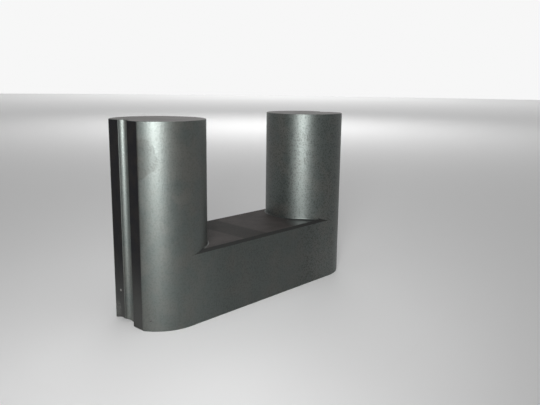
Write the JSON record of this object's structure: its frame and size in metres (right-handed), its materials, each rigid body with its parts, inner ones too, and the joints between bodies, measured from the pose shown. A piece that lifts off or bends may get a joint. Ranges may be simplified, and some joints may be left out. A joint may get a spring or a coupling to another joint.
{
  "type": "ferrite u core",
  "caption": "U-shaped ferrite core with round legs on a straight yoke, ground pole faces, and a clamping groove down each flat end.",
  "frame": {"origin": "middle of the back, the flat face that the core stands on", "axes": "+X from leg to leg, +Y across the yoke, +Z along the legs from the back towards the pole faces"},
  "size_m": [0.065, 0.02, 0.043],
  "materials": {
    "ferrite": "satin sintered ferrite, with matt ground pole faces"
  },
  "bodies": {
    "root": {"core": "ferrite"}
  },
  "joints": []
}
